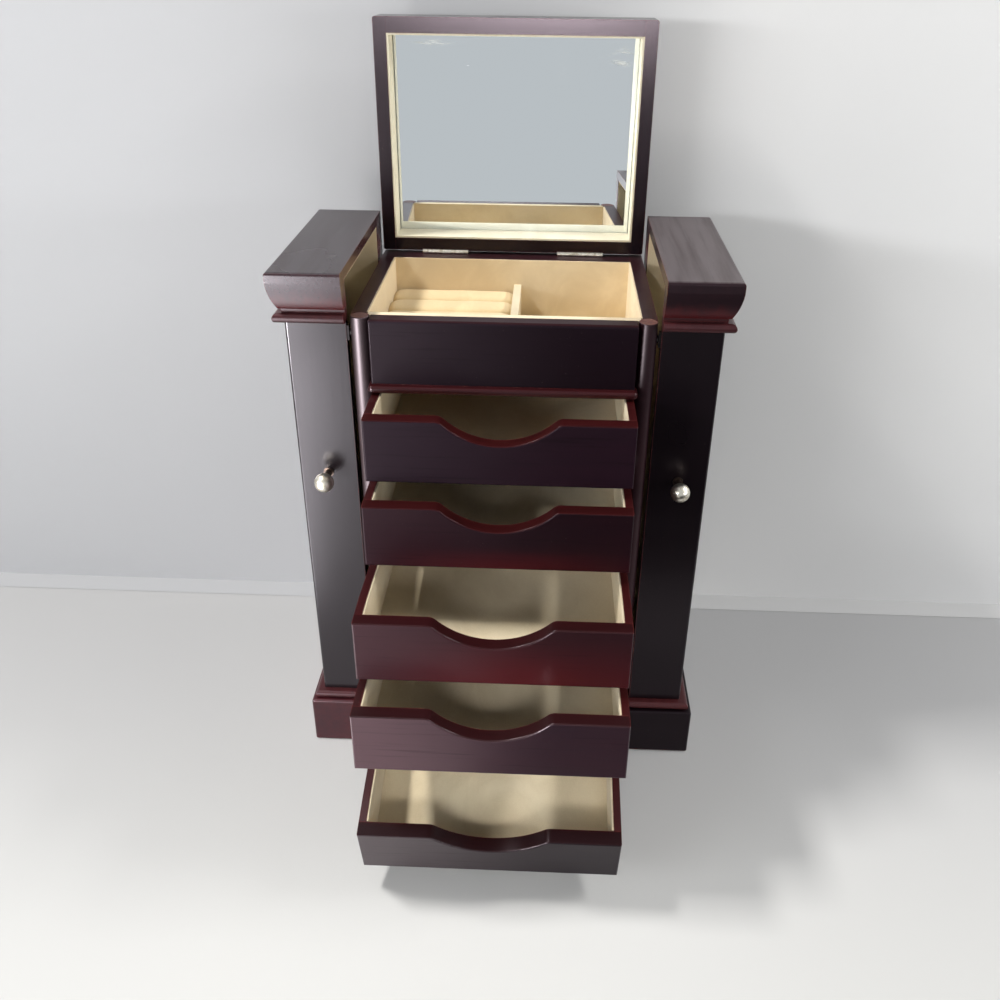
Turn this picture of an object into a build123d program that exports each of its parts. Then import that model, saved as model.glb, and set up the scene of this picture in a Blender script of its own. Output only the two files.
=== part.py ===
from build123d import *
import math
import os

# Five-drawer vanity box: a case with a lift-up mirror lid and two swing-out columns.
# Millimetres. X is the width, +Y runs to the back, Z is up and 0 is the table.

# Case
case_w = 200.0
case_d = 162.0
rim_z = 361.0
side_t = 9.7
back_t = 6.0
post_d = 12.4
post_back = 3.0
post_edge_r = 0.6
felt_t = 1.0
base_t = 8.0
base_h = 60.0
rear_rail_d = 20.0
fit_gap = 0.05

# Front of the case
front_h = 44.2
front_t = 11.0
front_proud = 0.5
bullnose_t = 5.2
bullnose_proud = 5.0
rail_t = 6.2
lip_r = 1.2
rail_d = 10.0

# Top compartment
floor_t = 3.5
card_t = 1.0
front_card_t = 6.0
divider_x = 2.0
divider_t = 5.5
divider_h = 24.7
roll_count = 5
roll_top = 22.5
roll_edge_r = 4.0
roll_gap = 0.3

# Drawers
drawer_count = 5
gap_side = 0.6
gap_top = 0.6
gap_bottom = 0.5
gap_back = 1.0
drawer_front_t = 10.0
drawer_side_t = 5.0
drawer_bottom_t = 3.0
drawer_bottom_up = 1.0
front_card_low = 3.0
scoop_half_w = 38.0
scoop_part = 0.365
pull_part = (0.287, 0.419, 0.768, 0.939)
ledge_t = 2.8
ledge_w = 10.0
guide_h = 10.0
guide_gap = 0.5
glide_r = 1.2
glide_len = 4.0
glide_inset = 2.0
glide_gap = 0.1
tip_deg = 15.0
tipped_inside = 4.5
drop_spare = 0.5

# Columns
column_gap = 2.6
shaft_w = 40.6
shaft_back = 6.0
board_t = 7.0
column_front_t = 6.0
column_foot_gap = 1.0
plinth_h = 40.0
plinth_out = 9.1
bead_h = 6.2
bead_out = 6.2
neck_out = 0.8
cap_rise = 30.0
cap_h = 25.0
cap_foot_out = 2.5
cap_out = 7.9
cap_board_t = 7.0
knob_z = 246.0
knob_r = 6.7
hook_count = 4

# Lid
lid_gap = 0.6
lid_l = 162.5
lid_panel_t = 3.0
lid_side_w = 9.3
lid_free_w = 10.5
lid_card_t = 1.3
lid_side_gap = 4.0
lid_end_gap = 0.5
mirror_t = 2.0
mirror_play = 0.2
lid_open_deg = 91.0
lid_axis_back = 7.0

# Hinges
leaf_t = 1.0
lid_leaf_l = 35.0
lid_leaf_x = 52.0
lid_barrel_r = 2.0
lid_leaf_w = 10.0
column_leaf_t = 0.6
column_leaf_h = 30.0
column_leaf_w = 14.0
column_barrel_r = 1.9
column_hinge_z = (75.0, rim_z - 46.0)
pin_r = 0.8
axial_gap = 0.2
screw_r = 0.8
screw_head_r = 1.6
screw_l = 7.0

half_w = case_w / 2
y_back = case_d / 2
inner_x = half_w - side_t
post_x = half_w - post_d / 2
post_in = half_w - post_d
tray_in = inner_x - card_t


def depth(d):
    """Y of a plane d behind the front edge of the case."""
    return d - case_d / 2


def box(x0, x1, y0, y1, z0, z1):
    return Pos((x0 + x1) / 2, (y0 + y1) / 2, (z0 + z1) / 2) * Box(x1 - x0, y1 - y0, z1 - z0)


def rod_x(x0, x1, y, z, r):
    return Pos((x0 + x1) / 2, y, z) * Rot(0, 90, 0) * Cylinder(r, x1 - x0)


def rod_y(x, y0, y1, z, r):
    return Pos(x, (y0 + y1) / 2, z) * Rot(90, 0, 0) * Cylinder(r, y1 - y0)


def rod_z(x, y, z0, z1, r):
    return Pos(x, y, (z0 + z1) / 2) * Cylinder(r, z1 - z0)


def mirrored(shape):
    return mirror(shape, about=Plane.YZ)


def both_sides(shapes):
    return list(shapes) + [mirrored(s) for s in shapes]


def cut(shape, tools):
    for tool in tools:
        shape = shape - tool
    return shape


def rounded(shape, axis, test, r):
    """The shape with its straight edges along axis that pass the test rounded to r."""
    edges = [e for e in shape.edges().filter_by(axis) if test(e.center())]
    return fillet(edges, r)


def group(shapes):
    solids = [s for shape in shapes for s in shape.solids()]
    if len(solids) == 1:
        return solids[0]
    return Compound(children=solids)


def save(name, shapes):
    export_step(group(shapes), "parts/" + name + ".step")


def screw(place, length=screw_l, head_t=leaf_t, grow=0.0):
    """A countersunk screw whose head is flush at the placed plane and whose tip is below it."""
    head = Pos(0, 0, -head_t / 2) * Cone(screw_r + grow, screw_head_r + grow, head_t)
    shank = Pos(0, 0, -(head_t + length) / 2) * Cylinder(screw_r + grow, length - head_t + grow)
    return place * (head + shank)


os.makedirs("parts", exist_ok=True)

# ---- Heights of the drawer stack
bullnose_z = rim_z - front_h - bullnose_t
drawer_h = (bullnose_z - base_h - (drawer_count - 1) * rail_t) / drawer_count - gap_top - gap_bottom
pitch = drawer_h + gap_top + gap_bottom + rail_t
drawer_z = [bullnose_z - gap_top - drawer_h - i * pitch for i in range(drawer_count)]
drawer_hw = post_in - gap_side
drawer_l = case_d - back_t - gap_back
post_y = depth(post_back + post_d / 2)
post = rod_z(post_x, post_y, felt_t, rim_z, post_d / 2)
post = fillet([e for e in post.edges() if e.center().Z > rim_z - 0.01], post_edge_r)
posts = both_sides([post])
cope = both_sides([rod_z(post_x, post_y, -10, rim_z + 100, post_d / 2 + fit_gap)])

# ---- Hinge screws, set out once so that wood, leaf and screw agree
lid_axis_y = y_back - lid_axis_back
lid_axis_z = rim_z + 1.15 * leaf_t
lid_rear_y = lid_axis_y - 1.15 * leaf_t
lid_z0 = rim_z + lid_gap
lid_z1 = rim_z + cap_rise - 0.4
column_axis_x = half_w + column_gap / 2
column_axis_y = y_back + column_barrel_r + 0.2
column_x = half_w + column_gap
lid_screw_dx = lid_leaf_l * 0.3
lid_case_screws = []
lid_lid_screws = []
for side in (-1, 1):
    for step in (-1, 1):
        sx = side * lid_leaf_x + step * lid_screw_dx
        lid_case_screws.append(Pos(sx, lid_axis_y + 4.6, rim_z + leaf_t))
        lid_lid_screws.append(Pos(sx, lid_rear_y + leaf_t, lid_axis_z + 6.0) * Rot(-90, 0, 0))
column_case_screws = []
column_leaf_screws = []
for z in column_hinge_z:
    for step in (-1, 1):
        sz = z + step * column_leaf_h * 0.3
        sy = y_back - column_leaf_w * 0.55
        column_case_screws.append(Pos(half_w + column_leaf_t, sy, sz) * Rot(0, 90, 0))
        column_leaf_screws.append(Pos(column_x - column_leaf_t, sy, sz) * Rot(0, -90, 0))


def screws(places, head_t, grow=0.0, length=screw_l):
    return [screw(p, length, head_t, grow) for p in places]


case_side_holes = both_sides(screws(column_case_screws, column_leaf_t, 0.03))
case_top_holes = screws(lid_case_screws, leaf_t, 0.03)

# ---- Case carcass
save("base_felt", [box(-half_w + 1, half_w - 1, depth(1), y_back - 1, 0, felt_t)])
base_board = box(-inner_x, inner_x, depth(rail_d), y_back - back_t, felt_t, felt_t + base_t)
save("base_board", [cut(base_board, cope)])
apron = cut(box(-post_in - 1.4, post_in + 1.4, depth(0.5), depth(rail_d), felt_t, base_h - rail_t), cope)
save("base_apron", [rounded(apron, Axis.X, lambda c: c.Y < depth(1) and c.Z < felt_t + 1, 0.8)])

magnet_z = rim_z - 11.5
magnet_y = post_y
magnet_r = 2.5
magnet_holes = both_sides([rod_x(half_w - 3.0, half_w + 2, magnet_y, magnet_z, magnet_r + 0.02)])
posts = [cut(p, magnet_holes) for p in posts]
post_right, post_left = posts
save("corner_post_right", [post_right])
save("corner_post_left", [post_left])
save("case_magnets", both_sides([rod_x(half_w - 3.0, half_w + 0.6, magnet_y, magnet_z, magnet_r)]))

side = box(inner_x, half_w, post_y + 2, y_back, felt_t, rim_z)
side = rounded(side, Axis.Z, lambda c: c.Y > y_back - 1 and c.X > half_w - 1, 1.0)
side_right = cut(side, cope + magnet_holes + case_side_holes)
save("side_panel_right", [side_right])
save("side_panel_left", [mirrored(side_right)])

tray_floor_z = bullnose_z + 1.0
save("back_panel", [box(-inner_x, inner_x, y_back - back_t, y_back, felt_t + base_t, tray_floor_z)])
barrel_grooves = []
for side_sign in (-1, 1):
    x = side_sign * lid_leaf_x
    barrel_grooves.append(
        rod_x(x - lid_leaf_l / 2 - 0.5, x + lid_leaf_l / 2 + 0.5, lid_axis_y, lid_axis_z,
              lid_barrel_r + 0.35))
rear_y = y_back - rear_rail_d
hinge_rail = box(-inner_x, inner_x, rear_y, y_back, tray_floor_z, rim_z)
hinge_rail = rounded(hinge_rail, Axis.X, lambda c: c.Z > rim_z - 1 and c.Y > y_back - 1, 1.0)
save("hinge_rail", [cut(hinge_rail, barrel_grooves + case_top_holes)])

front = box(-post_in + 0.4, post_in - 0.4, depth(-front_proud), depth(front_t - front_proud),
            rim_z - front_h, rim_z)
front = rounded(front, Axis.X, lambda c: c.Z > rim_z - 1 and c.Y < depth(1), 2.2)
front = rounded(front, Axis.Z, lambda c: c.Y < depth(1), 1.0)
save("false_front", [front])

bull = box(-post_in - 1.7, post_in + 1.7, depth(-bullnose_proud), depth(rail_d),
           bullnose_z, bullnose_z + bullnose_t)
bull = rounded(bull, Axis.Z, lambda c: c.Y < depth(-1), 3.0)
bull_edges = [e for e in bull.edges()
              if e.center().Y < depth(-0.5) and (abs(e.center().Z - bullnose_z) < 0.01
                                                 or abs(e.center().Z - bullnose_z - bullnose_t) < 0.01)]
bull = fillet(bull_edges, bullnose_t * 0.42)
save("bullnose_rail", [cut(bull, cope)])

# ---- Drawer bays: front rails, side ledges and guides, glides
rails = []
ledges = []
glides = []
lip_glides = []
glide_x = drawer_hw - drawer_side_t / 2
for i, z in enumerate(drawer_z):
    rail_z = z - gap_bottom
    rail = box(-post_in - 1.6, post_in + 1.6, depth(0), depth(rail_d), rail_z - rail_t, rail_z)
    rail = rounded(rail, Axis.X, lambda c: c.Y < depth(1) and c.Z > rail_z - 1, lip_r)
    rail = cut(rail, cope)
    axis_y = depth(glide_inset)
    axis_z = z - glide_gap - glide_r
    last = i == drawer_count - 1
    play = 0.06 if last else 0.0
    for s in (-1, 1):
        x0 = s * glide_x - glide_len / 2
        rail = rail - rod_x(x0 - play, x0 + glide_len + play, axis_y, axis_z, glide_r + play)
        pin = rod_x(x0, x0 + glide_len, axis_y, axis_z, glide_r)
        if last:
            lip_glides.append(pin)
        else:
            glides.append(pin)
    rails.append(rail)
    ledge_y0 = depth(post_back + post_d + 0.2)
    ledge_y1 = y_back - back_t
    ledge = box(inner_x - ledge_w, inner_x, ledge_y0, ledge_y1, rail_z - ledge_t, rail_z)
    guide = box(drawer_hw + guide_gap, inner_x, ledge_y0, ledge_y1, rail_z, rail_z + guide_h)
    ledges += both_sides([ledge, guide])
save("drawer_rails", rails)
save("drawer_runners", ledges)
save("drawer_glides", glides)
save("drawer_5_glides", lip_glides)

# ---- Top compartment
floor_z = tray_floor_z + floor_t
card_y = depth(front_t - front_proud)
tray_y0 = card_y + front_card_t
tray_y1 = rear_y - card_t
tray_floor = box(-inner_x, inner_x, depth(rail_d), rear_y, tray_floor_z, floor_z)
save("tray_floor", [cut(tray_floor, cope)])
tray_cards = [
    box(-post_in - 1.6, post_in + 1.6, card_y, tray_y0, floor_z, rim_z - 0.2),
    box(-inner_x, inner_x, tray_y0, rear_y, floor_z, floor_z + card_t),
    box(-tray_in, tray_in, tray_y1, rear_y, floor_z + card_t, rim_z - 0.2),
]
side_card = cut(box(tray_in, inner_x, tray_y0, rear_y, floor_z + card_t, rim_z - 0.2), cope)
tray_cards = [cut(c, cope) for c in tray_cards]
save("tray_lining", tray_cards + both_sides([side_card]))
tray_z = floor_z + card_t
save("tray_divider", [box(divider_x, divider_x + divider_t, tray_y0, tray_y1, tray_z, tray_z + divider_h)])
rolls = []
roll_pitch = (tray_y1 - tray_y0) / roll_count
roll_r = (roll_pitch - roll_gap) / 2
roll_z = rim_z - roll_top
for i in range(roll_count):
    y = tray_y0 + roll_pitch * (i + 0.5)
    roll = box(-tray_in, divider_x, y - roll_r, y + roll_r, tray_z, roll_z)
    roll = rounded(roll, Axis.X, lambda c: c.Z > roll_z - 1, roll_edge_r)
    rolls.append(cut(roll, cope))
save("ring_rolls", rolls)

# ---- Drawers
scoop_depth = scoop_part * drawer_h
scoop_r = (scoop_half_w ** 2 + scoop_depth ** 2) / (2 * scoop_depth)
ledge_room = gap_top + rail_t - ledge_t
rear_drop = drawer_l / 2 * math.sin(math.radians(tip_deg / 2)) - ledge_room + drop_spare
rear_h = drawer_h - rear_drop


def sloped(shape, spare):
    """The shape cut to the drawer's side line, full at the front and lower at the back."""
    run = drawer_l - drawer_front_t
    start = drawer_front_t + run * 0.12
    line = Polyline((start, drawer_h - spare), (drawer_l + 1, rear_h - spare),
                    (drawer_l + 1, drawer_h + 9), (start, drawer_h + 9), (start, drawer_h - spare))
    wedge = extrude(make_face(Plane.YZ * line), amount=case_w, both=True)
    return shape - wedge


def drawer_pieces():
    """Front, boards and lining of one drawer, its front on y 0 and its underside on z 0."""
    hw = drawer_hw
    dip = rod_y(0, -5, drawer_front_t + 5, drawer_h + scoop_r - scoop_depth, scoop_r)
    face = box(-hw, hw, 0, drawer_front_t, 0, drawer_h) - dip
    shoulders = [e for e in face.edges().filter_by(Axis.Y)
                 if abs(e.center().X) < hw - 5 and e.center().Z > drawer_h - 0.1]
    face = fillet(shoulders, 7.0)
    rim = [e for e in face.edges() if abs(e.center().Y) < 0.01]
    face = fillet(rim, 1.2)
    inner = hw - drawer_side_t
    boards = [
        box(inner, hw, drawer_front_t, drawer_l, 0, drawer_h),
        box(-hw, -inner, drawer_front_t, drawer_l, 0, drawer_h),
        box(-inner, inner, drawer_l - drawer_side_t, drawer_l, 0, drawer_h),
        box(-inner, inner, drawer_front_t, drawer_l - drawer_side_t, drawer_bottom_up,
            drawer_bottom_up + drawer_bottom_t),
    ]
    z0 = drawer_bottom_up + drawer_bottom_t
    z1 = z0 + card_t
    y0 = drawer_front_t
    y1 = drawer_l - drawer_side_t
    low_dip = Pos(0, 0, 0.4 - front_card_low) * dip
    cards = [
        box(-inner, inner, y0, y1, z0, z1),
        box(-inner, inner, y0, y0 + card_t, z1, drawer_h - front_card_low) - low_dip,
        box(-inner, inner, y1 - card_t, y1, z1, drawer_h),
        box(inner - card_t, inner, y0 + card_t, y1 - card_t, z1, drawer_h - 0.6),
        box(-inner, card_t - inner, y0 + card_t, y1 - card_t, z1, drawer_h - 0.6),
    ]
    return [face], [sloped(b, 0) for b in boards], [sloped(c, 0.6) for c in cards]


tip_y = depth(glide_inset)
tip_z = drawer_z[-1] - glide_gap - glide_r
kinds = ("front", "box", "lining")
pieces = drawer_pieces()
for i, z in enumerate(drawer_z):
    if i < drawer_count - 1:
        place = Pos(0, depth(-pull_part[i] * drawer_l), z)
    else:
        turn = Pos(0, tip_y, tip_z) * Rot(tip_deg, 0, 0) * Pos(0, -tip_y, -tip_z)
        place = turn * Pos(0, depth(tipped_inside - drawer_l), z)
    for kind, shapes in zip(kinds, pieces):
        save("drawer_%d_%s" % (i + 1, kind), [place * s for s in shapes])

# ---- Columns: the right one is built and the left one mirrors it
shaft_x = column_x + shaft_w
shaft_y = depth(shaft_back)
hollow_x = shaft_x - board_t
hollow_y0 = shaft_y + column_front_t
hollow_y1 = rear_y
plinth_z = column_foot_gap + plinth_h
shaft_z0 = plinth_z + bead_h
shaft_z1 = rim_z - 4.0
bead_z1 = shaft_z1 + bead_h
cap_z1 = rim_z + cap_rise
cap_z0 = cap_z1 - cap_h
hollow_z1 = cap_z1 - cap_board_t


def outline(plane, at, inner, z0, z1, low, mid, high, z_mid, z_flat, top_r):
    """A moulding's section: a curve from low to high overhang, then upright to a rounded top."""
    edges = [
        Line((inner, z0), (at(low), z0)),
        ThreePointArc((at(low), z0), (at(mid), z_mid), (at(high), z_flat)),
    ]
    last = (at(high), z_flat)
    if top_r > 0:
        edges.append(Line(last, (at(high), z1 - top_r)))
        soft = top_r * (1 - math.sqrt(0.5))
        edges.append(ThreePointArc((at(high), z1 - top_r), (at(high - soft), z1 - soft),
                                   (at(high - top_r), z1)))
        last = (at(high - top_r), z1)
    edges.append(Line(last, (inner, z1)))
    edges.append(Line((inner, z1), (inner, z0)))
    return extrude(make_face([plane * e for e in edges]), amount=600, both=True)


def moulding(z0, z1, low, mid, high, z_mid, z_flat, top_r=0.0):
    across = outline(Plane.XZ, lambda o: shaft_x + o, column_x, z0, z1, low, mid, high, z_mid, z_flat,
                     top_r)
    along = outline(Plane.YZ, lambda o: shaft_y - o, y_back, z0, z1, low, mid, high, z_mid, z_flat,
                    top_r)
    return across & along


leaf_cut = []
for z in column_hinge_z:
    leaf_cut.append(box(column_x - column_leaf_t, column_x, y_back - column_leaf_w, y_back,
                        z - column_leaf_h / 2, z + column_leaf_h / 2))
leaf_screws = screws(column_leaf_screws, column_leaf_t)
leaf_holes = screws(column_leaf_screws, column_leaf_t, 0.03)
strike = box(half_w + 1.0, column_x + 0.8, shaft_y + 0.6, shaft_y + column_front_t - 0.6,
             magnet_z - 5, magnet_z + 5)
knob_x = column_x + shaft_w / 2
stud_r = 1.5
stud_hole = rod_y(knob_x, shaft_y - 1, hollow_y0 + 1, knob_z, stud_r + 0.04)

shaft_front = box(column_x, shaft_x, shaft_y, hollow_y0, shaft_z0, shaft_z1)
shaft_front = rounded(shaft_front, Axis.Z, lambda c: c.Y < shaft_y + 1 and c.X > shaft_x - 1, 2.0)
shaft_front = cut(shaft_front, [stud_hole, strike])
shaft_side = box(hollow_x, shaft_x, hollow_y0, y_back, shaft_z0, shaft_z1)
shaft_stile = cut(box(column_x, hollow_x, hollow_y1, y_back, shaft_z0, shaft_z1), leaf_holes)
top_bead = moulding(shaft_z1, bead_z1, bead_h / 2, bead_out, bead_h / 2, shaft_z1 + bead_h / 2, bead_z1)
neck = box(column_x, shaft_x + neck_out, shaft_y - neck_out, y_back, bead_z1, cap_z0)
foot_bead = moulding(plinth_z, shaft_z0, bead_h / 2, bead_out, bead_h / 2, plinth_z + bead_h / 2,
                     shaft_z0)
hollow = box(column_x - 1, hollow_x, hollow_y0, hollow_y1, shaft_z0, hollow_z1)
cap = moulding(cap_z0, cap_z1, cap_foot_out, cap_out - 1.4, cap_out,
               cap_z0 + (cap_h - cap_board_t) * 0.55, cap_z1 - cap_board_t, 2.2)
plinth = box(column_x, shaft_x + plinth_out, shaft_y - plinth_out, y_back, column_foot_gap, plinth_z)
plinth = rounded(plinth, Axis.Z, lambda c: c.Y < shaft_y and c.X > shaft_x, 2.0)
plinth_top = [e for e in plinth.edges() if e.center().Z > plinth_z - 0.01
              and (e.center().Y < shaft_y - 5 or e.center().X > shaft_x + 5)]
plinth = fillet(plinth_top, 2.0)

card_x = column_x + 0.5
column_cards = [
    box(hollow_x - card_t, hollow_x, hollow_y0, hollow_y1, shaft_z0, hollow_z1),
    box(card_x, hollow_x - card_t, hollow_y0, hollow_y0 + card_t, shaft_z0, hollow_z1),
    box(card_x, hollow_x - card_t, hollow_y1 - card_t, hollow_y1, shaft_z0, hollow_z1),
    box(card_x, hollow_x - card_t, hollow_y0 + card_t, hollow_y1 - card_t, hollow_z1 - card_t,
        hollow_z1),
    box(card_x, hollow_x - card_t, hollow_y0 + card_t, hollow_y1 - card_t, shaft_z0,
        shaft_z0 + card_t),
]

ball_y = shaft_y - 16.0
flange = rod_y(knob_x, shaft_y - 0.9, shaft_y, knob_z, 3.6)
neck_rod = rod_y(knob_x, ball_y, shaft_y - 0.9, knob_z, 2.6)
stud = rod_y(knob_x, shaft_y, hollow_y0, knob_z, stud_r)
knob = flange + neck_rod + stud + Pos(knob_x, ball_y, knob_z) * Sphere(knob_r)

hooks = []
hook_x = (column_x + hollow_x) / 2
ceiling = hollow_z1 - card_t
hook_step = (hollow_y1 - hollow_y0) / hook_count
for i in range(hook_count):
    y = hollow_y0 + hook_step * (i + 0.5)
    frame = Plane(origin=(hook_x, y, ceiling), x_dir=(0, 1, 0), z_dir=(1, 0, 0))
    path = Wire([frame * Line((0, 0), (0, -7)), frame * ThreePointArc((0, -7), (-3, -10), (-6, -7))])
    start = Plane(origin=(hook_x, y, ceiling), z_dir=(0, 0, -1)) * Circle(0.8)
    wire_hook = sweep(start, path=path)
    plate = rod_z(hook_x, y, ceiling - 0.8, ceiling, 2.4)
    hooks.append(wire_hook + plate)

case_leaf_y = column_axis_y - column_barrel_r - 0.4
column_case_leaves = []
column_door_leaves = []
case_leaf_pins = []
for z in column_hinge_z:
    z0 = z - column_leaf_h / 2
    third = column_leaf_h / 3
    case_leaf = box(half_w, half_w + column_leaf_t, y_back - column_leaf_w, case_leaf_y,
                    z0, z0 + column_leaf_h)
    door_leaf = box(column_x - column_leaf_t, column_x, y_back - column_leaf_w, case_leaf_y,
                    z0, z0 + column_leaf_h)
    for k in range(3):
        k0 = z0 + k * third + axial_gap / 2
        k1 = z0 + (k + 1) * third - axial_gap / 2
        knuckle = rod_z(column_axis_x, column_axis_y, k0, k1, column_barrel_r)
        if k == 1:
            tab = box(column_x - column_leaf_t, column_x, case_leaf_y - 1, column_axis_y, k0, k1)
            door_leaf = door_leaf + tab + knuckle
        else:
            tab = box(half_w, half_w + column_leaf_t, case_leaf_y - 1, column_axis_y, k0, k1)
            case_leaf = case_leaf + tab + knuckle
    tight = rod_z(column_axis_x, column_axis_y, z0 - 1, z0 + column_leaf_h + 1, pin_r + 0.02)
    free = rod_z(column_axis_x, column_axis_y, z0 - 1, z0 + column_leaf_h + 1, pin_r + 0.06)
    case_leaf = cut(case_leaf, [tight] + screws(column_case_screws, column_leaf_t, 0.03))
    door_leaf = cut(door_leaf, [free] + leaf_holes)
    column_case_leaves.append(case_leaf)
    column_door_leaves.append(door_leaf)
    case_leaf_pins.append(rod_z(column_axis_x, column_axis_y, z0, z0 + column_leaf_h, pin_r))

column_parts = {
    "shaft": [shaft_front, shaft_side, shaft_stile],
    "mouldings": [top_bead - hollow, neck - hollow, foot_bead],
    "cap": [cap - hollow],
    "plinth": [plinth],
    "lining": column_cards,
    "hooks": hooks,
    "knob": [knob],
    "fittings": column_door_leaves + leaf_screws + [strike],
}
for name, shapes in column_parts.items():
    save("column_right_" + name, shapes)
    save("column_left_" + name, [mirrored(s) for s in shapes])

# ---- Lid, set out shut and turned open about its hinge line
lid_front_y = lid_rear_y - lid_l
panel_z = lid_z1 - lid_panel_t
mirror_z = panel_z - mirror_t
lid_in_x = half_w - lid_side_w
lid_in_y0 = lid_front_y + lid_free_w
lid_in_y1 = lid_rear_y - lid_side_w
lid_holes = screws(lid_lid_screws, leaf_t, 0.03)
stile = box(lid_in_x, half_w, lid_front_y, lid_rear_y, lid_z0, panel_z)
stile = rounded(stile, Axis.Z, lambda c: c.X > half_w - 1, 1.5)
free_rail = box(-lid_in_x, lid_in_x, lid_front_y, lid_in_y0, lid_z0, panel_z)
rear_rail = box(-lid_in_x, lid_in_x, lid_in_y1, lid_rear_y, lid_z0, panel_z)
rear_rail = cut(rear_rail, barrel_grooves + lid_holes)
panel = box(-half_w, half_w, lid_front_y, lid_rear_y, panel_z, lid_z1)
panel = rounded(panel, Axis.Z, lambda c: True, 1.5)
panel_top = [e for e in panel.edges() if e.center().Z > lid_z1 - 0.01]
panel = fillet(panel_top, 1.2)
mirror_x = lid_in_x - mirror_play
glass = box(-mirror_x, mirror_x, lid_in_y0 + mirror_play, lid_in_y1 - mirror_play, mirror_z, panel_z)
side_liner = box(lid_in_x - lid_card_t, lid_in_x, lid_in_y0, lid_in_y1, lid_z0 + 0.2,
                 mirror_z - lid_side_gap)
card_hx = lid_in_x - lid_card_t
end_liners = [
    box(-card_hx, card_hx, lid_in_y0, lid_in_y0 + lid_card_t, lid_z0 + 0.2, mirror_z - lid_end_gap),
    box(-card_hx, card_hx, lid_in_y1 - lid_card_t, lid_in_y1, lid_z0 + 0.2, mirror_z - lid_end_gap),
]

knuckles = 5
lid_leaves = []
rail_leaves = []
rail_pins = []
for side_sign in (-1, 1):
    x0 = side_sign * lid_leaf_x - lid_leaf_l / 2
    x1 = x0 + lid_leaf_l
    rail_leaf = box(x0, x1, lid_axis_y + lid_barrel_r + 0.3, y_back - 0.3, rim_z, rim_z + leaf_t)
    lid_leaf = box(x0, x1, lid_rear_y, lid_rear_y + leaf_t, lid_axis_z + lid_barrel_r + 0.3,
                   lid_axis_z + lid_leaf_w)
    step = lid_leaf_l / knuckles
    for k in range(knuckles):
        k0 = x0 + k * step + axial_gap / 2
        k1 = x0 + (k + 1) * step - axial_gap / 2
        knuckle = rod_x(k0, k1, lid_axis_y, lid_axis_z, lid_barrel_r)
        if k % 2:
            tab = box(k0, k1, lid_rear_y, lid_rear_y + leaf_t, lid_axis_z, lid_axis_z + lid_barrel_r + 1)
            lid_leaf = lid_leaf + tab + knuckle
        else:
            tab = box(k0, k1, lid_axis_y, lid_axis_y + lid_barrel_r + 1, rim_z, rim_z + leaf_t)
            rail_leaf = rail_leaf + tab + knuckle
    tight = rod_x(x0 - 1, x1 + 1, lid_axis_y, lid_axis_z, pin_r + 0.02)
    free = rod_x(x0 - 1, x1 + 1, lid_axis_y, lid_axis_z, pin_r + 0.06)
    rail_leaves.append(cut(rail_leaf, [tight] + case_top_holes))
    lid_leaves.append(cut(lid_leaf, [free] + lid_holes))
    rail_pins.append(rod_x(x0, x1, lid_axis_y, lid_axis_z, pin_r))

lid_turn = (Pos(0, lid_axis_y, lid_axis_z) * Rot(-lid_open_deg, 0, 0)
            * Pos(0, -lid_axis_y, -lid_axis_z))
lid_parts = {
    "lid_frame": both_sides([stile]) + [free_rail, rear_rail],
    "lid_panel": [panel],
    "lid_mirror": [glass],
    "lid_lining": both_sides([side_liner]) + end_liners,
    "lid_hinge_leaves": lid_leaves,
    "lid_screws": screws(lid_lid_screws, leaf_t),
}
for name, shapes in lid_parts.items():
    save(name, [lid_turn * s for s in shapes])

save("case_hinge_leaves", rail_leaves + rail_pins + both_sides(column_case_leaves + case_leaf_pins))
save("case_screws", screws(lid_case_screws, leaf_t) + both_sides(screws(column_case_screws, column_leaf_t)))
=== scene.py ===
import math

import bmesh
import bpy
from mathutils import Matrix, Vector, noise


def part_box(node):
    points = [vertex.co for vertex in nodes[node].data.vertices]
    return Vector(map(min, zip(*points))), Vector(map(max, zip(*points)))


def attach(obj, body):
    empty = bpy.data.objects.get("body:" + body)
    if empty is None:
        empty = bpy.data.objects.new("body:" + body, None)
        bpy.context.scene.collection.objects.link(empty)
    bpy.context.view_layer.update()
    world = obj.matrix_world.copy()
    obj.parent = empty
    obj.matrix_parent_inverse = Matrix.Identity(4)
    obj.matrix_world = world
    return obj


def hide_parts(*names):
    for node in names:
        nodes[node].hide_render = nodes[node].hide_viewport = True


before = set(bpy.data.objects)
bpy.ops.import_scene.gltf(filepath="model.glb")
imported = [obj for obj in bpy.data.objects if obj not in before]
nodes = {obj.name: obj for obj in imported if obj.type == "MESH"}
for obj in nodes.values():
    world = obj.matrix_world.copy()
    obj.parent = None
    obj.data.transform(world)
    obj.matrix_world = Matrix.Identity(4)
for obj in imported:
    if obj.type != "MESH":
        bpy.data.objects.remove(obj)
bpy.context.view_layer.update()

MM = 0.001


# ---------------------------------------------------------------- colours and shader graphs
def srgb(r, g, b):
    """A colour given in 0 to 255 display values, as the linear values that shaders use."""
    def linear(v):
        v /= 255
        return v / 12.92 if v <= 0.04045 else ((v + 0.055) / 1.055) ** 2.4
    return (linear(r), linear(g), linear(b), 1.0)


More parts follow.
